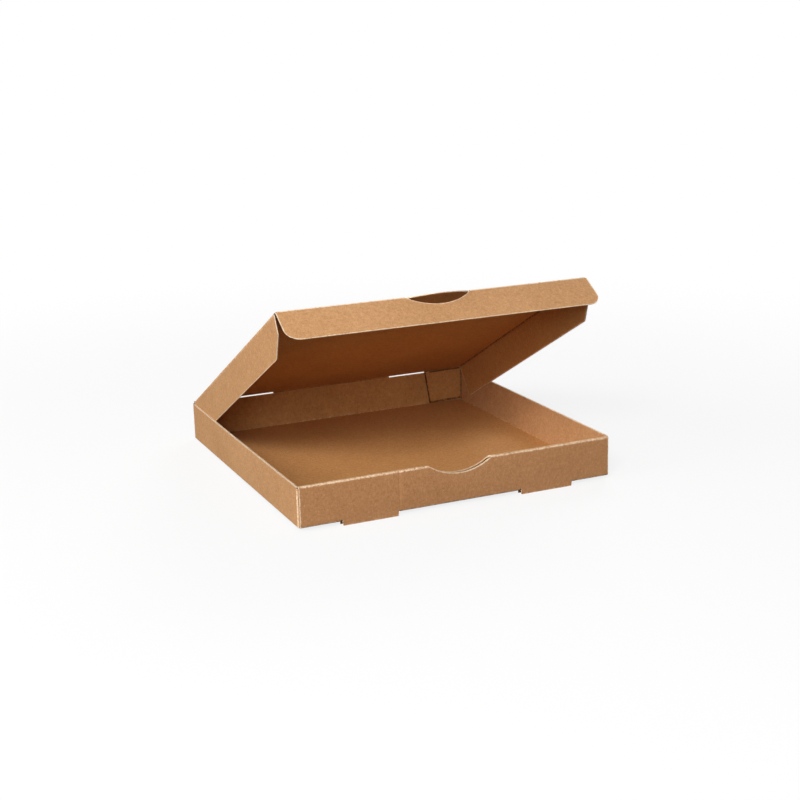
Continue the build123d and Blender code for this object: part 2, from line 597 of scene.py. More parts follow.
class BoardMesh:
    """Collects patches of board, each two faces and its cut edges, into one mesh."""

    def __init__(self, name: str) -> None:
        """Starts an empty mesh.

        Args:
            name: Name of the mesh and of its object.
        """
        self.name = name
        self.points: list[Array] = []
        self.uvs: list[Array] = []
        self.wear_and_shade_values: list[Array] = []
        self.quads: list[NDArray[np.int64]] = []
        self.kinds: list[NDArray[np.int64]] = []
        self.count = 0

    def _add(self, points: Array, uv: Array, wear_and_shade: Array, quads: Array, kind: Any) -> None:
        """Adds vertices and the faces between them.

        Args:
            points: Vertices.
            uv: Their board coordinates.
            wear_and_shade: Their rubbing above 0 and painted shade below 0.
            quads: Faces as four places in points.
            kind: Material slot of the faces, one for all or one for each.
        """
        self.points.append(points.reshape(-1, 3))
        self.uvs.append(uv.reshape(-1, 2))
        self.wear_and_shade_values.append(wear_and_shade.reshape(-1))
        self.quads.append(quads + self.count)
        self.kinds.append(np.broadcast_to(kind, len(quads)))
        self.count += wear_and_shade.size

    def patch(
        self,
        outer: Array,
        inner: Array,
        uv: Array,
        wear_and_shade: Array,
        inside: Array | None = None,
        live: Mask | None = None,
        face: Any = Surface.LINER,
        lining: Any = Surface.INSIDE,
    ) -> None:
        """Adds a patch of board: the grid's outer face, inner face and the edges of its live cells.

        A cell is the quad between four neighbours of the grid. An edge that has a live cell on one
        side only is a cut edge, and gets a face from the outer to the inner grid.

        Args:
            outer: Grid of points on the outer face.
            inner: The same grid on the inner face.
            uv: Place along and across the flutes.
            wear_and_shade: Rubbing above 0 and painted shade below 0 on the outer face.
            inside: The same for the inner face, or None for half of the outer one.
            live: Which cells exist, or None for all of them.
            face: Material slot of the outer face, one for all cells or one for each.
            lining: The same for the inner face.
        """
        rows, columns = outer.shape[:2]
        index = np.arange(rows * columns).reshape(rows, columns)
        alive = np.ones((rows - 1, columns - 1), bool) if live is None else live
        steps = outer[1:, :-1] - outer[:-1, :-1], outer[:-1, 1:] - outer[:-1, :-1]
        facing = np.cross(*steps) * (outer - inner)[:-1, :-1]
        turn = -1 if facing[alive].sum() < 0 else 1
        cells = cell_corners(index)[alive][:, ::turn]
        behind = wear_and_shade / 2 if inside is None else inside
        self._add(outer, uv, wear_and_shade, cells, np.broadcast_to(face, alive.shape)[alive])
        self._add(inner, uv, behind, cells[:, ::-1], np.broadcast_to(lining, alive.shape)[alive])

        framed = np.pad(alive, 1)
        left, right = framed[1:-1, :-1], framed[1:-1, 1:]
        near, far = framed[:-1, 1:-1], framed[1:, 1:-1]
        edges = [
            joined(index[:-1], index[1:])[right & ~left],
            joined(index[1:], index[:-1])[left & ~right],
            joined(index[:, 1:], index[:, :-1])[far & ~near],
            joined(index[:, :-1], index[:, 1:])[near & ~far],
        ]
        start, end = np.concatenate(edges)[:, ::turn].T
        sides = joined(start, start + index.size, end + index.size, end)
        thickness = np.linalg.norm(outer - inner, axis=-1)
        through = [joined(uv[..., 1], depth) for depth in (0 * thickness, thickness)]
        # The cut edges take the painted shade of the inner face, where its marks are below 0
        crushed = np.broadcast_to(np.minimum(behind, 0), (2, rows, columns))
        self._add(np.stack([outer, inner]), np.stack(through), crushed, sides, Surface.CUT)

    def build(self, finishes: Finishes) -> bpy.types.Object:
        """Makes the object at the origin, in metres.

        Args:
            finishes: Materials of the faces and the cut edges.

        Returns:
            The object.
        """
        quads = np.concatenate(self.quads)
        used, places = np.unique(quads, return_inverse=True)
        quads = places.reshape(quads.shape)
        points = np.concatenate(self.points)[used] * MM
        uv = np.concatenate(self.uvs)[used] * MM
        mesh = bpy.data.meshes.new(self.name)
        mesh.from_pydata(points.tolist(), [], quads.tolist())
        mesh.polygons.foreach_set("material_index", np.concatenate(self.kinds).astype(np.int32))
        mesh.polygons.foreach_set("use_smooth", np.ones(len(quads), bool))
        corners = np.empty(len(mesh.loops), np.int32)
        mesh.loops.foreach_get("vertex_index", corners)
        layer = mesh.uv_layers.new(name=BOARD_UV)
        layer.data.foreach_set("uv", uv[corners].astype(np.float32).ravel())
        wear_and_shade = mesh.attributes.new(WEAR_AND_SHADE, "FLOAT", "POINT")
        wear_and_shade.data.foreach_set("value", np.concatenate(self.wear_and_shade_values)[used].astype(np.float32))
        mesh.update()
        mesh.set_sharp_from_angle(angle=np.radians(SHARP_ANGLE))
        for surface in Surface:
            mesh.materials.append(finishes[surface])
        made = bpy.data.objects.new(self.name, mesh)
        bpy.context.scene.collection.objects.link(made)
        log.info("%s: %d faces", self.name, len(quads))
        return made


# Sub-assemblies, in millimetres


@dataclass(frozen=True)
class TrayWearAndShade:
    """Where the tray's folds and edges are rubbed, and where shade is painted in its creases, gaps
    and slots.
    """

    fold: Mark = Mark(0.75, 1.3)
    fold_inside: Mark = Mark(0.5, 2.0)
    rolled_top: float = 0.5
    # Painted shade in the groove of the score line near each foot
    score: float = 0.4
    score_lip: float = 0.3
    notch: Mark = Mark(1.1, 0.9)
    # Painted shade in the gap under the inner panel's notch arc
    notch_slip: Mark = Mark(-1.6, 0.9)
    panel_end: Mark = Mark(0.8, 0.9)
    foot: float = 0.5
    # Painted shade on the lock tabs' ends, which stand in the dark slots
    lock_end_painted_shade: Mark = Mark(-3.0, 1.0)
    corner: Mark = Mark(0.85, 1.0)
    # Painted shade in the inner, concave side of the wall's corner bends
    corner_inside_painted_shade: Mark = Mark(1.6, 1.6)
    # Painted shade in the gap where the front corner bend goes behind the front panel
    front_corner_painted_shade: Mark = Mark(-0.9, 0.7)
    rim: Mark = Mark(1.0, 0.9)
    rim_inside: float = 0.7
    # Painted shadow along the rear corner flap's free edges, in its gaps to the back wall and the
    # hinge, darker on the right
    flap_end_shadow: Mark = Mark(1.0, 1.2)
    flap_low_shadow: Mark = Mark(1.0, 0.5)
    flap_top_shadow: Mark = Mark(1.3, 0.7)
    flap_edges_shadow: float = 1.0
    flap_edges_shadow_swing: float = 0.7
    bottom: Mark = Mark(0.7, 1.2)
    bottom_inside: Mark = Mark(0.6, 0.7)


@dataclass
class Tray:
    """Floor, walls, rolled front wall, corner flaps, feet and lock tabs."""

    finishes: Finishes
    board: Board = Board()
    wear_and_shade: TrayWearAndShade = TrayWearAndShade()
    half: float = 165.0
    floor_low: float = 4.0
    rim: float = 44.0
    rim_steps: Steps = (1.2, 0.6, 0)
    front_stack: float = 4.9
    foot_start: float = 63.5
    foot_end: float = 123.0
    foot_taper: float = 0.5
    foot_play: float = 1.6
    foot_step: float = 1.0
    foot_margin: float = 1.0
    foot_blank: float = 20.0
    slot_play: float = 0.5
    lock_low: float = 0.8
    notch_width: float = 67.0
    notch_depth: float = 11.0
    notch_slip: float = 1.4
    notch_steps: Steps = (
        0, 0.05, 0.15, 0.35, 0.7, 1.2, 2.0, 2.9, 4.5, 6.5, 9, 12, 16, 20, 25, 29
    )
    score_place: float = 64.2
    score_width: float = 0.45
    score_depth: float = 0.28
    score_faint: float = 0.35
    score_steps: Steps = (-0.7, -0.35, 0, 0.35, 0.7, 1.2)
    lip_offset: float = 1.0
    lip_width: float = 0.4
    end_steps: Steps = (1.6, 0.9, 0.4)
    front_corner_flap: float = 100.0
    front_corner_drop: float = 1.7
    front_corner_rim: float = 0.6
    back_corner_flap: float = 50.0
    back_corner_slant: float = 6.0
    back_corner_rise: float = 0.2
    back_corner_stand: float = 3.0
    back_corner_rims: Steps = (0.8, 1.6)
    back_corner_top: float = 0.85
    corner_flap_low: float = 6.7
    corner_low: float = 5.2
    fold_overlap: float = 0.8
    bulge: float = 0.6
    back_bulge: float = 0.6
    floor_bulge: float = 0.8
    front_bulge: float = 0.9
    side_wave: float = 0.75

    @property
    def panel_half(self) -> float:
        """Middle of the box to the ends of the long panels."""
        return self.half - self.board.bend

    @property
    def wall_low(self) -> float:
        """Level at which a wall starts above its bottom fold."""
        return self.floor_low + self.board.bend

    @property
    def lock_top(self) -> float:
        """Level at which the inner front panel ends and its lock tabs start."""
        return self.floor_low + self.board.thick + self.board.gap

    @property
    def side_reach(self) -> float:
        """Middle of the box to the outer face of a corner flap."""
        return self.half - self.board.thick - self.board.gap

    def columns(self) -> Array:
        """Stations along the long panels, through every cut and score.

        Returns:
            The stations.
        """
        notch = self.notch_width / 2 - np.array(self.notch_steps)
        score = self.score_place + np.array(self.score_steps)
        cuts = self.foot_start, self.foot_end, self.board.slit_start, self.board.slit_end
        ends = self.panel_half - np.array(self.end_steps)
        right = np.concatenate([notch, score, cuts, ends])
        return stations(-self.panel_half, self.panel_half, self.board.spacing, *-right, *right)

    def long_strip(self, mesh: BoardMesh) -> None:
        """Adds back wall, floor, outer front panel, rolled top and inner front panel as one strip.

        The section runs down the back wall, along the floor, up the front, over the top and down
        the inside. The rows of the front panels end on the arc of the thumb notch: each row is a
        fixed share of the way from the bottom to the arc.

        Args:
            mesh: Mesh that takes the strip.
        """
        board, marks, half, low, rim = self.board, self.wear_and_shade, self.half, self.floor_low, self.rim
        inside = -half + self.front_stack
        corners = [(half, board.hinge_top), (half, low), (-half, low)]
        corners += [(-half, rim), (inside, rim), (inside, self.lock_top)]
        path = FoldedPath(board, *corners)
        back, back_end, floor, floor_end, outer, outer_end, top, top_end, inner, end = path.start
        slit_row = board.hinge_top - rim + board.slit_depth
        slot_row = floor + self.panel_half + half - self.front_stack - self.slot_play
        fixed = path.rows(0, 4, slit_row, slot_row)
        rising = path.rows(4, 6)
        falling = path.rows(7, 9)

        # Lengths along the section, up to the arc of the notch on both front panels
        x = self.columns()
        arcs = arc_height(np.stack([x, x + self.notch_slip]), self.notch_width, self.notch_depth)
        arcs = np.maximum(arcs, 0)
        on_bend = board.bend * np.arcsin(np.clip(1 - arcs / board.bend, 0, 1))
        cut = (on_bend - np.maximum(arcs - board.bend, 0))[..., None]
        outer_rim, inner_rim = outer_end + cut[0], inner - cut[1]
        rise = outer + (rising - outer) / (top - outer) * (outer_rim - outer)
        fall = end - (end - falling) / (end - top_end) * (end - inner_rim)
        s = np.hstack([np.broadcast_to(fixed[:-1], (len(x), len(fixed) - 1)), rise, fall])
        section, left = path.at(s)
        across = np.broadcast_to(x[:, None], s.shape)
        aside = np.abs(across)
        on_outer, on_inner = between(s, outer, top), s > top_end

        # Bulged panels, with a score line near each foot that is deep on the left only
        on_left = across < 0
        score = bell(aside, self.score_place, self.score_width) * on_outer
        score = score * np.where(on_left, 1.0, self.score_faint)
        lip = bell(aside, self.score_place - self.lip_offset, self.lip_width) * on_left * on_outer
        swell = self.bulge * hump(across, -self.panel_half, self.panel_half) * (
            self.back_bulge * hump(s, back, back_end)
            - self.floor_bulge * hump(s, floor, floor_end)
            + self.front_bulge * hump(s, outer, outer_end)
        )
        face = section + left * (swell - self.score_depth * score)[..., None]
        lining = face - left * board.thick

        # Rubbed folds, top, notch and ends, and the shaded score
        wear_and_shade = path.wear_and_shade(s, marks.fold)
        over_foot = between(
            aside, self.foot_start - self.foot_margin, self.foot_end + self.foot_margin
        )
        wear_and_shade = np.where(over_foot & between(s, floor_end, outer_end - self.foot_blank), 0.0, wear_and_shade)
        wear_and_shade = np.where(between(s, outer_end, inner), np.maximum(wear_and_shade, marks.rolled_top), wear_and_shade)
        wear_and_shade = wear_and_shade - marks.score * score + marks.score_lip * lip
        in_notch = aside < self.notch_width / 2
        arc = marks.notch.at(s, outer_rim) * on_outer + marks.notch.at(s, inner_rim) * on_inner
        ends = marks.panel_end.at(aside, self.panel_half) * on_outer
        wear_and_shade = np.maximum(wear_and_shade, np.maximum(arc * in_notch, ends))
        # Painted shade in the gap under the inner panel's notch arc
        slip = marks.notch_slip.at(s, inner_rim + self.notch_slip) * on_inner * in_notch

        # Cut away: the floor slots, the hinge slits and the top over the notch
        middle, row = np.abs(middles(x))[:, None], middles(s[:-1])
        over_top = np.arange(s.shape[1] - 1) == len(fixed) + len(rising) - 2
        dead = between(middle, self.foot_start, self.foot_end) & between(row, slot_row, outer)
        dead |= between(middle, board.slit_start, board.slit_end) & (row < slit_row)
        dead |= over_top & (middle < self.notch_width / 2)
        # The front wall's outer face takes the darker copy of the liner, painted shade
        mesh.patch(
            np.concatenate([across[..., None], face], axis=-1),
            np.concatenate([across[..., None], lining], axis=-1),
            joined(across, s),
            wear_and_shade,
            path.wear_and_shade(s, marks.fold_inside) + slip,
            ~dead,
            np.where(between(row, floor_end, top), Surface.FRONT, Surface.LINER),
        )

    def feet(self, mesh: BoardMesh, side: Side) -> None:
        """Adds a foot of the outer front panel and a lock tab of the inner one.

        The foot's ends close in linearly below the floor: x moves towards the foot's middle by the
        taper times the depth below the floor.

        Args:
            mesh: Mesh that takes them.
            side: Which foot.
        """
        middle = (self.foot_start + self.foot_end) / 2
        half = (self.foot_end - self.foot_start) / 2
        foot_half = half - self.foot_play
        z = even(self.wall_low, 0.0, self.foot_step)
        x, level = np.meshgrid(even(-foot_half, foot_half, self.board.spacing), z, indexing="ij")
        below = np.clip((self.floor_low - level) / self.floor_low, 0, 1)
        x = side.value * (middle + x * (1 - below * self.foot_taper / foot_half))
        # The foot's front face takes the darker copy of the liner, painted shade
        self._upright(mesh, x, -self.half, level, self.wear_and_shade.foot * below**2, Surface.FRONT)

        z = np.array([self.lock_top, self.floor_low, self.lock_low])
        x, level = np.meshgrid(even(-half, half, self.board.spacing), z, indexing="ij")
        x = side.value * (middle + x * (1 - self.slot_play / half))
        y = -self.half + self.front_stack - self.board.thick
        # Painted shade on the lock tabs' ends, which stand in the dark slots
        ends = [self.wear_and_shade.lock_end_painted_shade.at(np.abs(x), end) for end in (self.foot_start, self.foot_end)]
        self._upright(mesh, x, y, level, sum(ends), Surface.LINER)

    def _upright(
        self, mesh: BoardMesh, x: Array, y: float, z: Array, wear_and_shade: Array, face: Surface
    ) -> None:
        """Adds an upright patch parallel to the front wall.

        Args:
            mesh: Mesh that takes it.
            x: Grid of places along the wall.
            y: Place of the front face.
            z: Grid of levels.
            wear_and_shade: Wear of the front face.
            face: Its material slot.
        """
        outer = joined(x, np.full_like(x, y), z)
        inner = outer + np.array([0, self.board.thick, 0])
        mesh.patch(outer, inner, joined(x, z), wear_and_shade, face=face)

    def side_wall(self, mesh: BoardMesh, side: Side) -> None:
        """Adds a side wall with its corner flaps.

        In plan the wall is a U. Its rows run along the U and its columns up the wall. The rear
        flap's rows end on its slanted edge, each a fixed share of the way along the flap, and the
        flap stands off the back wall by the square of that share.

        Args:
            mesh: Mesh that takes the wall.
            side: Which wall.
        """
        board, marks, half, reach = self.board, self.wear_and_shade, self.half, self.side_reach
        corners = [(half - self.front_corner_flap, -reach), (half, -reach)]
        corners += [(half, reach), (half - self.back_corner_flap, reach)]
        path = FoldedPath(board, *corners)
        _, corner, wall, wall_end, flap, end = path.start
        front_top = self.rim - self.front_corner_drop
        back_top = self.rim + self.back_corner_rise
        levels = self.rim - np.array(self.rim_steps)
        cuts = self.wall_low, self.corner_flap_low, front_top
        z = stations(self.corner_low, back_top, board.spacing, *cuts, *levels)
        rims = corner - self.front_corner_rim, *(end - np.array(self.back_corner_rims))
        along = path.rows(0, 5, *rims)
        s, level = np.meshgrid(along, z, indexing="ij")
        slant = self.back_corner_slant * (self.rim - level) / (self.rim - self.wall_low)
        share = np.clip((s - flap) / (end - flap), 0, 1)
        s = s - share * slant
        plan, left = path.at(s)
        plan = plan + left * (self.back_corner_stand * share**2)[..., None]
        height = (level - self.wall_low) / (self.rim - self.wall_low)
        swell = self.bulge * hump(s, wall, wall_end) * np.sin(np.pi * self.side_wave * height)
        outer = plan - left * swell[..., None]
        inner = outer + left * board.thick

        # Cut away: above and below the corner flaps, and below the wall between its corners
        middle, up = middles(along)[:, None], middles(z)
        dead = (middle < wall) & (up > front_top)
        dead |= (middle < flap) & (up > self.rim)
        dead |= ((middle < corner) | (middle > flap)) & (up < self.corner_flap_low)
        dead |= between(middle, wall + board.bend, wall_end - board.bend) & (up < self.wall_low)

        # Rubbed rim and corners, painted shade in the corner folds, and painted shadow at the rear
        # flap's free edges, darker on the right
        on_flap = s > flap
        rim = marks.rim.at(level, self.rim) * between(s, wall, wall_end)
        # Painted shadow along the free edges of the rear corner flap
        free = marks.flap_end_shadow.at(s, end - slant)
        free = free + marks.flap_low_shadow.at(level, self.corner_flap_low) * on_flap
        free = free + marks.flap_top_shadow.at(level, back_top) * on_flap * (share < self.back_corner_top)
        free = (marks.flap_edges_shadow + marks.flap_edges_shadow_swing * side.value) * free
        mirror = np.array([side.value, 1, 1])
        mesh.patch(
            np.concatenate([outer, level[..., None]], axis=-1) * mirror,
            np.concatenate([inner, level[..., None]], axis=-1) * mirror,
            joined(level, s),
            np.maximum(path.wear_and_shade(s, marks.corner), rim) + marks.front_corner_painted_shade.at(s, corner),
            marks.rim_inside * rim - np.maximum(path.wear_and_shade(s, marks.corner_inside_painted_shade), free),
            ~dead,
            # The side walls' inner faces keep the plain liner, the corner flaps' take the saturated
            # copy, painted shade
            lining=np.where(between(middle, wall, wall_end), Surface.LINER, Surface.INSIDE),
        )

    def side_fold(self, mesh: BoardMesh, side: Side) -> None:
        """Adds the quarter-round fold between the floor and a side wall.

        Args:
            mesh: Mesh that takes the fold.
            side: Which wall.
        """
        board, low = self.board, self.floor_low
        corners = [(self.panel_half - TINY, low), (self.half, low)]
        fold = FoldedPath(board, *corners, (self.half, self.wall_low + TINY))
        span = self.side_reach - board.bend + self.fold_overlap
        rows = np.linspace(0, fold.start[-1], board.bend_steps + 1)
        s, y = np.meshgrid(rows, even(-span, span, board.spacing), indexing="ij")
        outer, left = fold.at(s)
        inner = outer + left * board.thick
        mirror = np.array([side.value, 1, 1])
        mesh.patch(
            joined(outer[..., 0], y, outer[..., 1]) * mirror,
            joined(inner[..., 0], y, inner[..., 1]) * mirror,
            joined(s, y),
            fold.wear_and_shade(s, self.wear_and_shade.bottom),
            fold.wear_and_shade(s, self.wear_and_shade.bottom_inside),
        )

    def build(self) -> None:
        """Builds the tray's mesh and puts it on its body."""
        mesh = BoardMesh("tray_board")
        self.long_strip(mesh)
        for side in Side:
            self.feet(mesh, side)
            self.side_wall(mesh, side)
            self.side_fold(mesh, side)
        made = mesh.build(self.finishes)
        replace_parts(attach(made, "tray"), "tray")


@dataclass(frozen=True)
class Fold:
    """A panel's own axes: X along its fold, ahead away from it, inward to the inside of the box."""

    origin: Place
    rise: float

    def place(self, x: Array | float, ahead: Array | float, inward: Array | float) -> Array:
        """Points of the panel in the box's frame.

        Args:
            x: Places along the fold.
            ahead: Distances from the fold.
            inward: Distances to the inside from the board's middle.

        Returns:
            Points with one more axis of three.
        """
        turn = np.radians(self.rise)
        x, ahead, inward = np.broadcast_arrays(x, ahead, inward)
        y = self.origin[1] - ahead * np.cos(turn) - inward * np.sin(turn)
        z = self.origin[2] + ahead * np.sin(turn) - inward * np.cos(turn)
        return joined(self.origin[0] + x, y, z)


def bend(
    made: bpy.types.Object, first: str, second: str, start: Array, end: Array, shares: Steps
) -> None:
    """Bakes a crease's transform into its mesh. Two points between its ends are worked out, but the
    crease is not bent between the bodies.

    Args:
        made: The crease.
        first: Not used.
        second: Not used.
        start: Middle of its first edge.
        end: Middle of its last edge.
        shares: Two shares of the way from its start to its end.
    """
    low, high = ((start + share * (end - start)) * MM for share in shares)
    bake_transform(made)


@dataclass(frozen=True)
class Crease:
    """Creased strips along X, from the end of a first panel to the start of a second one.

    Angle is the second panel's turn about the fold line, which lies across the first panel's axes.
    """

    name: str
    bodies: tuple[str, str]
    panel: Fold
    line: float
    before: float
    after: float
    angle: float
    pinch: float
    # Painted shade on the inner, concave face of the crease
    inside: float
    row_step: float = 0.2
    shares: Steps = (0.15, 0.68)

    def build(self, board: Board, finishes: Finishes, *spans: tuple[float, float]) -> None:
        """Builds the strips.

        The outer face is an arc about the fold line between the panels' outer faces. The inner face
        is pinched about the corner in which their inner faces meet, before the fold line by half
        the thickness times the tangent of half the angle.

        Args:
            board: Board that is creased.
            finishes: Materials of the board.
            spans: Both ends of each strip along X.
        """
        half, turn = board.thick / 2, np.radians(self.angle)
        angles = np.linspace(0, turn, board.bend_steps + 1)
        ring = joined(np.sin(angles), -np.cos(angles))
        corner = np.array([-half * np.tan(turn / 2), half])
        joint = np.array([np.cos(turn), np.sin(turn)]) * self.after
        out = half * ring[-1]
        outer = np.vstack([[-self.before, -half], half * ring, joint + out])
        inner = np.vstack([[-self.before, half], corner + self.pinch * ring, joint - out])
        mesh = BoardMesh(self.name)
        for span in spans:
            x = even(*span, board.spacing)[:, None]
            faces = [
                self.panel.place(x, self.line + ahead, inward)
                for ahead, inward in (outer.T, inner.T)
            ]
            uv = joined(x, np.arange(len(outer)) * self.row_step)
            worn = np.ones(uv.shape[:2])
            # The inner face takes painted shade
            mesh.patch(*faces, uv, worn, self.inside * worn)
        made = mesh.build(finishes)
        start = self.panel.place(0.0, self.line - self.before, 0.0)
        end = self.panel.place(0.0, self.line + joint[0], joint[1])
        bend(made, *self.bodies, start, end, self.shares)


@dataclass(frozen=True)
class LidWearAndShade:
    """Where the lid's folds and edges are rubbed, and where shade is painted on the inner sides of
    its folds.
    """

    panel_front: Mark = Mark(0.5, 1.0)
    # Painted shade on the underside along the side folds
    panel_side_painted_shade: Mark = Mark(-1.0, 0.8)
    front_edges: float = 1.15
    side_edges: float = 0.9
    side_edges_inside: float = 0.8
    side_top: Mark = Mark(0.5, 1.2)
    # Painted shade on the flap's inner face below its fold
    side_top_inside_painted_shade: Mark = Mark(-1.0, 0.8)
    # Painted shade on the inner, concave faces of the hinge, front and side creases
    hinge_inside_painted_shade: float = -0.6
    front_inside_painted_shade: float = -1.0
    side_inside_painted_shade: float = -1.2


@dataclass
class Lid:
    """Lid panel with its pull tab, three tuck flaps and the creases between them."""

    finishes: Finishes
    board: Board = Board()
    wear_and_shade: LidWearAndShade = LidWearAndShade()
    hinge: Fold = Fold((0.0, 164.25, 45.05), 28.0)
    hinge_half: float = 163.0
    hinge_pinch: float = 0.05
    half: float = 161.1
    edge_columns: Steps = (156.0, 159.0, 160.0, 160.6)
    first_row: float = 0.3
    last_rows: Steps = (0.97, 0.985)
    sag: float = 1.0
    crease: float = 0.85
    front_fold: float = 322.4
    front_flap_fold: float = 60.0
    front_pinch: float = 0.0525
    moon_width: float = 68.0
    moon_depth: float = 13.0
    moon_play: float = 1.5
    moon_steps: Steps = (
        -0.6, 0, 0.3, 0.7, 1.1, 1.2, 1.7, 2.4, 3.4, 5, 7, 10, 14, 18, 23, 28
    )
    tab_droop: float = 0.17
    tab_crush: float = 0.5
    edge_crush: float = 0.9
    edge_width: float = 0.9
    rim_steps: Steps = (0.5, 1.0, 1.6)
    front_flap_half: float = 162.6
    front_flap_depth: float = 38.0
    front_flap_corner: float = 14.0
    corner_steps: int = 12
    pivot_level: float = 1.05
    side_inner: float = 161.4
    side_depth: float = 37.5
    side_spacing: float = 3.0
    side_rows: Steps = (34.5, 35.5, 36.4, 37.0, 37.3)
    side_knee: float = 19.0
    side_slope: float = 18.0
    side_front_inset: float = 3.0
    side_rear_inset: float = 4.0
    side_rear_slope: float = 8.0
    side_corner: float = 1.0
    side_shares: tuple[float, float] = (0.36, 0.64)

    @property
    def front(self) -> Fold:
        """Axes of the front flap."""
        line = self.hinge.place(0.0, self.front_fold, 0.0)
        return Fold(tuple(line.tolist()), self.hinge.rise - self.front_flap_fold)

    def columns(self, half: float) -> Array:
        """Stations across the lid, through its slits and the ends of the half-moon.

        Args:
            half: Middle of the lid to the last station.

        Returns:
            The stations.
        """
        moon = self.moon_width / 2 - np.array(self.moon_steps)
        slits = self.board.slit_start, self.board.slit_end
        right = np.concatenate([moon, slits, self.edge_columns])
        return stations(-half, half, self.board.spacing, *-right, *right)

    def rim_shares(self, length: float) -> Array:
        """Shares of the way across a flap of that length, finer at both rims."""
        rims = np.array(self.rim_steps) / length
        return stations(0, 1, self.board.spacing / length, *rims, *(1 - rims))

    def panel(self) -> None:
        """Builds the lid panel. Its rows end on the front fold or on the arc of the pull tab."""
        board = self.board
        x = self.columns(self.half)
        edge = self.front_fold - self.crease
        arc = self.front_fold + arc_height(x, self.moon_width, self.moon_depth, self.moon_play)
        reach = np.where(np.abs(x) < self.moon_width / 2, np.maximum(arc, edge), edge)[:, None]
        rows = self.first_row / self.front_fold, *self.last_rows
        shares = stations(0, 1, board.spacing / self.front_fold, *rows)
        ahead = self.crease + shares * (reach - self.crease)
        across = np.broadcast_to(x[:, None], ahead.shape)
        sag = self.sag * hump(across, -self.half, self.half) * hump(ahead, 0, edge)
        droop = self.tab_droop * np.maximum(ahead - edge, 0)
        face = sag + droop - board.thick / 2
        thick = board.thick * (1 - self.tab_crush * np.clip((ahead - edge) / self.moon_depth, 0, 1))
        in_slit = between(np.abs(middles(x))[:, None], board.slit_start, board.slit_end)
        mesh = BoardMesh("lid_board")
        # The underside takes painted shade along the side folds
        mesh.patch(
            self.hinge.place(across, ahead, face),
            self.hinge.place(across, ahead, face + thick),
            joined(across, ahead),
            self.wear_and_shade.panel_front.at(ahead, edge),
            self.wear_and_shade.panel_side_painted_shade.at(np.abs(across), self.half),
            ~(in_slit & (middles(ahead[:-1]) < board.slit_depth)),
        )
        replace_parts(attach(mesh.build(self.finishes), "lid"), "lid")

    def front_flap(self) -> None:
        """Builds the front flap between the half-moon cut-out and its rounded lower corners.

        Near its free edges the inner face is drawn towards the outer one, so they look crushed.
        """
        board, corner = self.board, self.front_flap_corner
        straight = self.front_flap_half - corner
        ends = straight + corner * np.sin(np.linspace(0, np.pi / 2, self.corner_steps))
        x = np.unique(np.concatenate([-ends, self.columns(straight), ends]))
        top = np.maximum(arc_height(x, self.moon_width, self.moon_depth), self.crease)[:, None]
        past = np.clip(np.abs(x) - straight, 0, corner)
        low = (self.front_flap_depth - corner + np.sqrt(corner**2 - past**2))[:, None]
        ahead = top + self.rim_shares(self.front_flap_depth) * (low - top)
        across = np.broadcast_to(x[:, None], ahead.shape)
        free = bell(np.abs(across), self.front_flap_half, self.edge_width)
        free = np.maximum(free, bell(ahead, low, self.edge_width))
        free = np.maximum(free, bell(ahead, top, self.edge_width) * (top > self.crease))
        mesh = BoardMesh("lid_front_flap_board")
        mesh.patch(
            self.front.place(across, ahead, -board.thick / 2),
            self.front.place(across, ahead, board.thick / 2 - self.edge_crush * free),
            joined(across, ahead),
            self.wear_and_shade.front_edges * free,
        )
        made = mesh.build(self.finishes)
        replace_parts(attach(made, "lid_front_flap"), "lid_front_flap")

    def side_flap(self, side: Side) -> None:
        """Builds a side flap. Each row runs from its slanted rear edge to its cut-back front edge.

        Near its front and lower edges the inner face is drawn towards the outer one.

        Args:
            side: Which flap.
        """
        board, marks, corner = self.board, self.wear_and_shade, self.side_corner
        depth = stations(0, self.side_depth, self.side_spacing, self.side_knee, *self.side_rows)
        slope = np.clip((depth - self.side_knee) / (self.side_depth - self.side_knee), 0, 1)
        past = np.clip(depth - (self.side_depth - corner), 0, corner)
        rounding = corner - np.sqrt(corner**2 - past**2)
        rear = self.side_rear_inset + self.side_rear_slope * depth / self.side_depth + rounding
        front = self.front_fold - self.side_front_inset - self.side_slope * slope - rounding
        ahead = rear + self.rim_shares(self.front_fold)[:, None] * (front - rear)
        down = np.broadcast_to(depth, ahead.shape)
        level = self.pivot_level + down
        crush = bell(down, self.side_depth, self.edge_width)
        crush = np.maximum(bell(ahead, front, self.edge_width), crush)
        rub = np.maximum(bell(ahead, rear, self.edge_width), crush)
        outer = side.value * (self.side_inner + board.thick)
        inner = side.value * (self.side_inner + self.edge_crush * crush)
        name = f"lid_{side.name.lower()}_flap"
        mesh = BoardMesh(f"{name}_board")
        # The inner face takes painted shade below the fold
        mesh.patch(
            self.hinge.place(outer, ahead, level),
            self.hinge.place(inner, ahead, level),
            joined(down, ahead),
            np.maximum(marks.side_edges * rub, marks.side_top.at(down, 0.0)),
            marks.side_edges_inside * rub + marks.side_top_inside_painted_shade.at(down, 0.0),
        )
        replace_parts(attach(mesh.build(self.finishes), name), name)

    def hinge_crease(self) -> None:
        """Builds the creased strips between back wall and lid, parted by the slits."""
        board, end = self.board, self.hinge_half
        wall = Fold(self.hinge.origin, UPRIGHT)
        crease = Crease(
            name="hinge_crease",
            bodies=("tray", "lid"),
            panel=wall,
            line=0.0,
            before=wall.origin[2] - board.hinge_top,
            after=self.crease,
            angle=wall.rise - self.hinge.rise,
            pinch=self.hinge_pinch,
            inside=self.wear_and_shade.hinge_inside_painted_shade,
        )
        slit, slit_end = board.slit_start, board.slit_end
        crease.build(board, self.finishes, (-slit, slit), (slit_end, end), (-end, -slit_end))

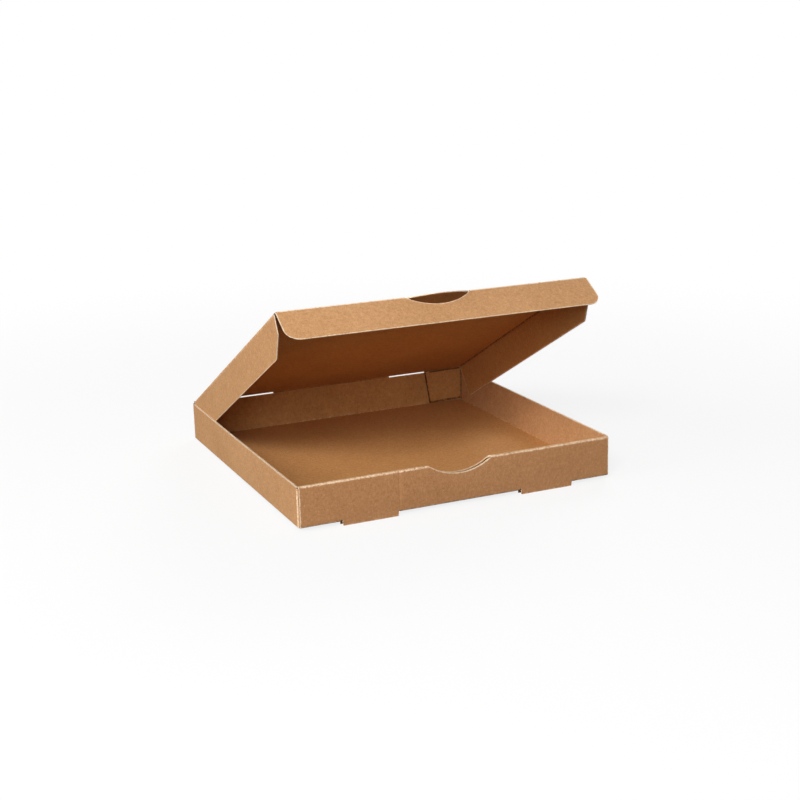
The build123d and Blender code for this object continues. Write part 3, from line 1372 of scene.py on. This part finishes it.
    def front_crease(self) -> None:
        """Builds the creased strips between lid and front flap, on both sides of the half-moon."""
        crease = Crease(
            name="front_flap_crease",
            bodies=("lid", "lid_front_flap"),
            panel=self.hinge,
            line=self.front_fold,
            before=self.crease,
            after=self.crease,
            angle=self.front_flap_fold,
            pinch=self.front_pinch,
            inside=self.wear_and_shade.front_inside_painted_shade,
        )
        end, moon = self.half, self.moon_width / 2
        crease.build(self.board, self.finishes, (moon, end), (-end, -moon))

    def side_crease(self, side: Side) -> None:
        """Builds the quarter-round crease between the lid and a side flap, about the fold's pivot.

        Args:
            side: Which flap.
        """
        board, pivot = self.board, self.pivot_level
        near = pivot - board.thick / 2
        angles = np.linspace(0, np.pi / 2, board.bend_steps + 1)
        ahead = even(self.side_rear_inset, self.front_fold - self.side_front_inset, board.spacing)
        ahead = ahead[:, None]
        faces = []
        for radius in (near + board.thick, near):
            x = side.value * (self.half + radius * np.sin(angles))
            faces.append(self.hinge.place(x, ahead, pivot - radius * np.cos(angles)))
        uv = joined(angles * board.thick, ahead)
        worn = np.broadcast_to(np.sin(2 * angles), uv.shape[:2])
        mesh = BoardMesh(f"{side.name.lower()}_flap_crease")
        # The inner, concave face takes painted shade
        mesh.patch(*faces, uv, worn, self.wear_and_shade.side_inside_painted_shade * worn)
        made = mesh.build(self.finishes)
        x = side.value * self.half
        start = self.hinge.place(x, self.front_fold / 2, 0.0)
        end = self.hinge.place(x + side.value * pivot, self.front_fold / 2, pivot)
        bend(made, "lid", f"lid_{side.name.lower()}_flap", start, end, self.side_shares)

    def build(self) -> None:
        """Builds the lid, its flaps and all creases."""
        self.panel()
        self.front_flap()
        self.hinge_crease()
        self.front_crease()
        for side in Side:
            self.side_flap(side)
            self.side_crease(side)


# Studio, in metres


def aimed(place: Array, back: Array, roll: float = 0.0) -> Matrix:
    """Matrix of a lamp or camera that looks against a direction.

    Args:
        place: Where it stands.
        back: Unit vector from the target to it.
        roll: Turn about its line of sight, in radians.

    Returns:
        The world matrix, with its own X to the right and Y up.
    """
    right = np.cross([0.0, 0.0, 1.0], back)
    right = right / np.linalg.norm(right)
    up = np.cross(back, right)
    turned = np.cos(roll) * right + np.sin(roll) * up, np.cos(roll) * up - np.sin(roll) * right
    matrix = np.eye(4)
    matrix[:3] = joined(*turned, back, place)
    return Matrix(matrix.tolist())


@dataclass(frozen=True)
class Lamp:
    """A square soft light that is aimed at the box."""

    name: str
    place: Place
    side: float
    watts: float
    target: Place = (0.0, 0.0, 0.08)

    def build(self) -> None:
        """Hangs the lamp and aims it."""
        lamp = bpy.data.lights.new(self.name, "AREA")
        lamp.shape = "SQUARE"
        lamp.size = self.side
        lamp.energy = self.watts
        made = bpy.data.objects.new(self.name, lamp)
        back = np.array(self.place) - np.array(self.target)
        made.matrix_world = aimed(np.array(self.place), back / np.linalg.norm(back))
        bpy.context.scene.collection.objects.link(made)


@dataclass(frozen=True)
class Studio:
    """White ground under the feet and the rear edge, soft lamps and a dim overhead sky."""

    reach: float = 12.0
    cells: int = 8
    feet: float = 0.164
    rise: float = 4.0 / 328.0
    ambient: float = 0.05
    sky: tuple[float, float] = (-0.05, 0.75)
    near_white: float = 0.82
    near: float = 0.3
    far: float = 1.1
    white: Colour = (1.0, 1.0, 1.0, 1.0)
    paper: Colour = (0.9, 0.9, 0.9, 1.0)
    unseen_paper: Colour = (0.05, 0.05, 0.05, 1.0)
    lamps: tuple[Lamp, ...] = (
        Lamp("side", (-2.2, -0.2, 1.0), 1.3, 27.0),
        Lamp("key", (-1.2, -2.0, 1.2), 1.3, 31.0),
        Lamp("high", (-1.3, -1.5, 1.5), 0.5, 20.0),
        Lamp("front", (-0.7, -1.9, 1.4), 0.5, 5.0),
        Lamp("rear", (1.7, 1.8, 1.5), 1.6, 40.0),
    )

    @staticmethod
    def seen(graph: Graph) -> Value:
        """1 where the camera, a mirror or a glass sees the surface, and 0 for other light.

        Args:
            graph: Node tree that takes the nodes.

        Returns:
            The mask.
        """
        kinds = "Is Camera Ray", "Is Glossy Ray", "Is Transmission Ray"
        camera, glossy, through = (graph.node("ShaderNodeLightPath", output=kind) for kind in kinds)
        return (camera + glossy + through).rise(0.0, 1.0, "LINEAR")

    def ground(self) -> None:
        """Builds the pale ground, a plane that meets the feet and the rear bottom edge.

        It shows as white, with the box's shadow near the box.
        """
        steps = np.linspace(-1, 1, self.cells + 1) * self.reach
        x, y = np.meshgrid(steps, steps, indexing="ij")
        points = joined(x, y, (y + self.feet) * self.rise).reshape(-1, 3)
        quads = cell_corners(np.arange(x.size).reshape(x.shape)).reshape(-1, 4)
        mesh = bpy.data.meshes.new("ground")
        mesh.from_pydata(points.tolist(), [], quads.tolist())
        graph = Graph(bpy.data.materials.new("white_ground"))
        place = graph.node("ShaderNodeTexCoord", output="Object")
        away = graph.node("ShaderNodeVectorMath", {"operation": "LENGTH"}, {0: place}, "Value")
        seen = self.seen(graph)
        tone = graph.mix(seen, self.unseen_paper, self.paper)
        paper = graph.node("ShaderNodeBsdfDiffuse", None, {"Color": tone})
        white = graph.node("ShaderNodeEmission", None, {"Color": self.white, "Strength": 1.0})
        share = seen * (self.near_white + away.rise(self.near, self.far) * (1 - self.near_white))
        mixed = graph.node("ShaderNodeMixShader", None, {0: share, 1: paper, 2: white})
        graph.end("ShaderNodeOutputMaterial", mixed)
        mesh.materials.append(graph.owner)
        made = bpy.data.objects.new("ground", mesh)
        bpy.context.scene.collection.objects.link(made)

    def surround(self) -> None:
        """Builds the world: white where it is seen, and a dim sky from above for other light."""
        graph = Graph(bpy.data.worlds.new("surround"))
        toward = graph.node("ShaderNodeTexCoord", output="Generated")
        light = graph.axis(toward, 2).rise(*self.sky) * self.ambient
        dim, shown = (
            graph.node("ShaderNodeBackground", None, {"Color": self.white, "Strength": strength})
            for strength in (light, 1.0)
        )
        mixed = graph.node("ShaderNodeMixShader", None, {0: self.seen(graph), 1: dim, 2: shown})
        graph.end("ShaderNodeOutputWorld", mixed)
        bpy.context.scene.world = graph.owner

    def build(self) -> None:
        """Builds ground, surround and lamps."""
        self.ground()
        self.surround()
        for lamp in self.lamps:
            lamp.build()
        bpy.context.scene.view_settings.view_transform = "Standard"


@dataclass(frozen=True)
class Viewpoint:
    """The camera that shows the box as it is photographed."""

    azimuth: float = -23.886
    elevation: float = 15.188
    roll: float = -1.4805
    distance: float = 1.523742
    aside: float = 0.0102
    above: float = 0.026565
    target: Place = (0.0, 0.0, 0.037)
    lens: float = 65.556
    sensor: float = 36.0
    clip: tuple[float, float] = (0.01, 100.0)

    def build(self) -> None:
        """Sets up the camera.

        It stands back from the target along its line of sight, moved aside and up in its own view.
        """
        azimuth, elevation, roll = np.radians([self.azimuth, self.elevation, self.roll])
        flat = np.cos(elevation)
        back = np.array([np.sin(azimuth) * flat, -np.cos(azimuth) * flat, np.sin(elevation)])
        turned = np.array(aimed(np.zeros(3), back, roll))
        place = np.array(self.target) + back * self.distance
        place = place + turned[:3, 0] * self.aside + turned[:3, 1] * self.above
        camera = bpy.data.cameras.new("camera")
        camera.lens = self.lens
        camera.sensor_width = self.sensor
        camera.clip_start, camera.clip_end = self.clip
        made = bpy.data.objects.new("camera", camera)
        made.matrix_world = aimed(place, back, roll)
        bpy.context.scene.collection.objects.link(made)
        bpy.context.scene.camera = made


def main() -> None:
    """Builds the dressed box and its studio."""
    logging.basicConfig(level=logging.INFO, format="%(message)s")
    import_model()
    # A deeper, more saturated copy of the liner for the inner faces, painted shade
    inside = KraftLiner("kraft_inside", colour(181, 125, 70), colour(221, 166, 106))
    # A darker copy of the liner for the front wall and feet, painted shade
    front = KraftLiner("kraft_front", colour(174, 119, 73), colour(211, 156, 109))
    finishes = {
        Surface.LINER: KraftLiner().build(),
        Surface.CUT: FlutedEdge().build(),
        Surface.INSIDE: inside.build(),
        Surface.FRONT: front.build(),
    }
    Viewpoint().build()
    Studio().build()
    Tray(finishes).build()
    Lid(finishes).build()


if __name__ == "__main__":
    main()
